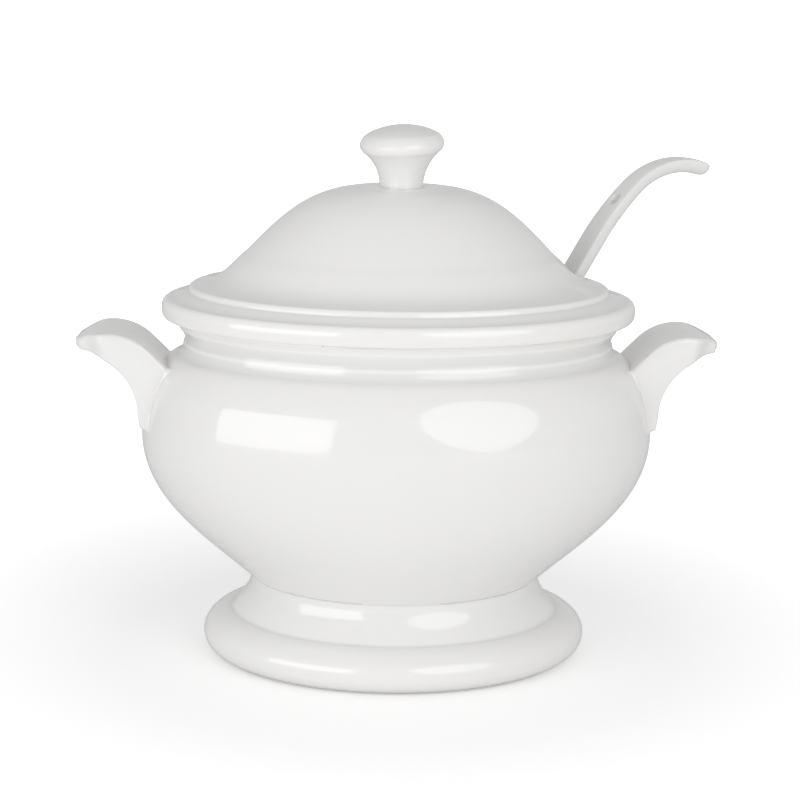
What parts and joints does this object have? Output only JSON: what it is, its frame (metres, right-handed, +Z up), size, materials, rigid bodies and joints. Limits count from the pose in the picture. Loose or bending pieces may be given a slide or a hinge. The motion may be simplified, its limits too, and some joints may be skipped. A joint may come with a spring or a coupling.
{
  "type": "soup tureen",
  "caption": "Oval footed serving tureen in white glazed porcelain with lug handles, a notched domed lid with a knob, and a long-handled ladle.",
  "frame": {"origin": "centre of the foot ring, in the plane that the tureen stands on", "axes": "+Z up, +X towards the right handle, the way the ladle leans, +Y towards the back"},
  "size_m": [0.3457, 0.1828, 0.2863],
  "materials": {
    "porcelain": "gloss"
  },
  "bodies": {
    "tureen": {"tureen_bowl": "porcelain", "pedestal_foot": "porcelain", "left_handle": "porcelain", "right_handle": "porcelain"},
    "ladle": {"ladle_cup": "porcelain", "ladle_handle": "porcelain"},
    "lid": {"lid": "porcelain", "lid_knob": "porcelain"}
  },
  "joints": [
    {"name": "ladle_lift", "type": "slide", "parent": "tureen", "child": "ladle", "axis": [0, 0, 1], "range_m": [0, 0.2]},
    {"name": "lid_lift", "type": "slide", "parent": "ladle", "child": "lid", "axis": [0, 0, 1], "range_m": [0, 0.2]}
  ]
}
